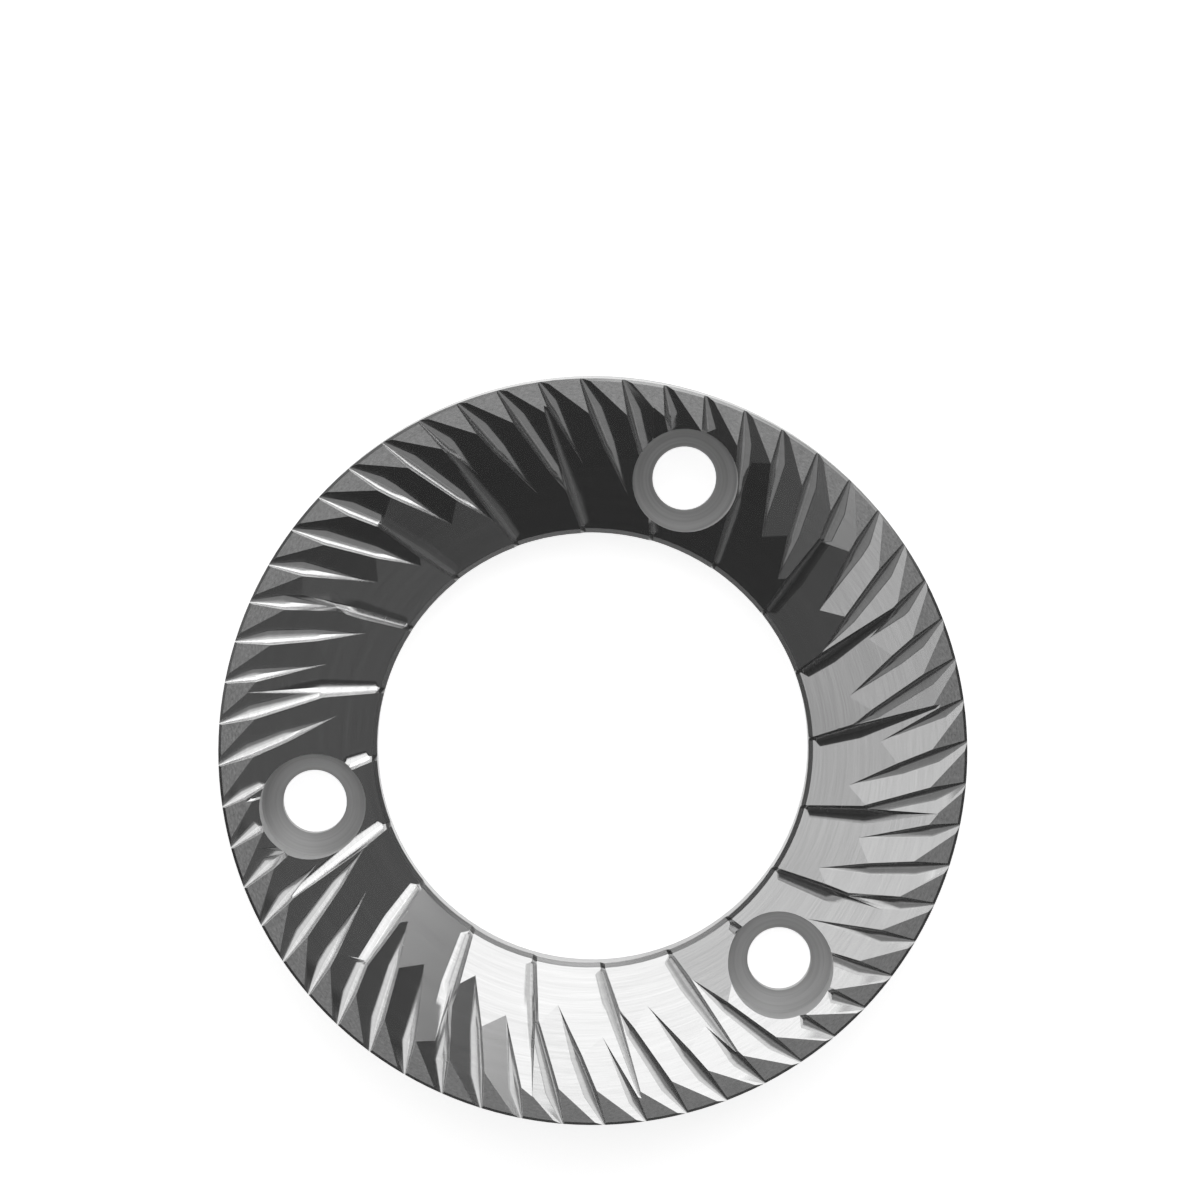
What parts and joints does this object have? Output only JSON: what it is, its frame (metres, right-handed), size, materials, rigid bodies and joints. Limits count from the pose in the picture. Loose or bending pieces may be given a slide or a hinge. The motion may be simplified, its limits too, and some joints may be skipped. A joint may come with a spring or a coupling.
{
  "type": "coffee grinder burr",
  "caption": "Flat steel grinding burr: a ring with breaker grooves at the bore, fine cutting teeth at the rim and countersunk screw holes.",
  "frame": {"origin": "centre of the flat back face, on the ring's axis", "axes": "+Z along the ring's axis, from the back face to the cutting face; +X points right and +Y up as the picture shows the cutting face"},
  "size_m": [0.064, 0.064, 0.009],
  "materials": {
    "burr_steel": "ground"
  },
  "bodies": {
    "root": {"burr": "burr_steel"}
  },
  "joints": []
}
